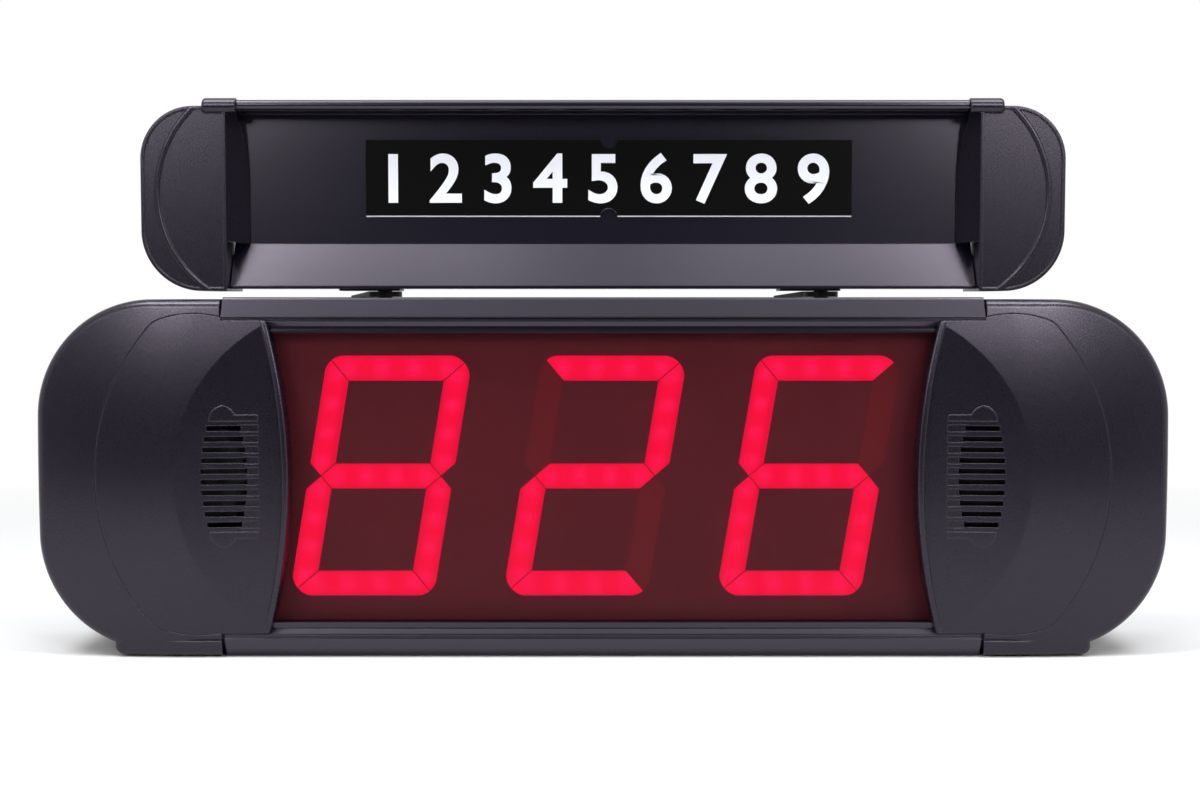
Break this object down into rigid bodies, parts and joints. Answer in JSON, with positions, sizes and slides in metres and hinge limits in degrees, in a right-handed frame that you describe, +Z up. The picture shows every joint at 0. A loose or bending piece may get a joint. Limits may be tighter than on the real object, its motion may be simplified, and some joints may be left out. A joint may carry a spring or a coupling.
{
  "type": "queue number display",
  "caption": "Queue number display: black housing with seven-segment digits behind a red window, grilles in its moulded ends, and a sign panel locked on top.",
  "frame": {"origin": "centre of the housing's flat underside, halfway between its front and back faces", "axes": "+X to the viewer's right along the housing, +Y towards the back, +Z up"},
  "size_m": [0.4704, 0.065, 0.2323],
  "materials": {
    "anodised_black": "satin black anodised, fine drawn lines",
    "cap_plastic": "black ABS, fine spark texture",
    "window_red": "polished red acrylic",
    "module_face": "flat grey ink on the module face",
    "segment_lit": "diffusing resin, lit",
    "segment_unlit": "diffusing resin, unlit",
    "board_green": "solder mask over glass fibre",
    "chip_black": "moulded epoxy",
    "can_aluminium": "satin can",
    "coil_copper": "enamelled copper winding on ferrite",
    "socket_black": "moulded connector plastic",
    "knob_plastic": "moulded knob",
    "rotor_white": "moulded rotor",
    "panel_paint": "fine matt powder coat",
    "zinc_steel": "zinc plated",
    "foot_paint": "black powder coat",
    "lever_plastic": "glass-filled nylon",
    "foam_black": "closed-cell foam",
    "basket_paint": "black lacquer",
    "cone_paper": "doped paper",
    "ferrite": "sintered ferrite",
    "cloth_black": "woven acoustic cloth",
    "label_laminate": "engraving laminate, matt black over white"
  },
  "bodies": {
    "display": {"board_link_header": "chip_black", "capacitors": "can_aluminium", "centre_digit_housing": "module_face", "centre_digit_lit_segments": "segment_lit", "centre_digit_unlit_segments": "segment_unlit", "code_switch_bodies": "socket_black", "controller_chips": "chip_black", "data_sockets": "socket_black", "display_window": "window_red", "driver_board": "board_green", "driver_chips": "chip_black", "end_cap_screws": "zinc_steel", "housing_profile": "anodised_black", "left_cheek_cover": "cap_plastic", "left_digit_housing": "module_face", "left_digit_lit_segments": "segment_lit", "left_end_cap": "cap_plastic", "left_sign_foot": "foot_paint", "main_board": "board_green", "mount_inserts": "zinc_steel", "power_coil": "coil_copper", "power_jack": "socket_black", "rear_panel": "panel_paint", "rear_panel_screws": "zinc_steel", "right_cheek_cover": "cap_plastic", "right_digit_housing": "module_face", "right_digit_lit_segments": "segment_lit", "right_digit_unlit_segments": "segment_unlit", "right_end_cap": "cap_plastic", "right_grille_cloth": "cloth_black", "right_sign_foot": "foot_paint", "sign_foot_screws": "zinc_steel", "sign_label": "label_laminate", "sign_left_cap": "cap_plastic", "sign_profile": "anodised_black", "sign_right_cap": "cap_plastic", "speaker_basket": "basket_paint", "speaker_cone": "cone_paper", "speaker_gasket": "foam_black", "speaker_magnet": "ferrite", "volume_control": "socket_black"},
    "left_lock": {"left_lock_lever": "lever_plastic", "left_lever_clip": "zinc_steel"},
    "right_lock": {"right_lock_lever": "lever_plastic", "right_lever_clip": "zinc_steel"},
    "volume": {"volume_knob": "knob_plastic"},
    "tens_code": {"tens_code_rotor": "rotor_white"},
    "units_code": {"units_code_rotor": "rotor_white"}
  },
  "joints": [
    {"name": "left_lock_turn", "type": "hinge", "parent": "display", "child": "left_lock", "pos_m": [-0.0935, 0.0003, 0.151], "axis": [0, 0, 1], "range_deg": [0, 90]},
    {"name": "right_lock_turn", "type": "hinge", "parent": "display", "child": "right_lock", "pos_m": [0.0935, 0.0003, 0.151], "axis": [0, 0, 1], "range_deg": [0, 90]},
    {"name": "volume_turn", "type": "hinge", "parent": "display", "child": "volume", "pos_m": [0.015, 0.022, 0.042], "axis": [0, 1, 0], "range_deg": [-140, 140]},
    {"name": "tens_code_turn", "type": "hinge", "parent": "display", "child": "tens_code", "pos_m": [0.034, 0.026, 0.042], "axis": [0, 1, 0], "continuous": true},
    {"name": "units_code_turn", "type": "hinge", "parent": "display", "child": "units_code", "pos_m": [0.049, 0.026, 0.042], "axis": [0, 1, 0], "continuous": true}
  ]
}
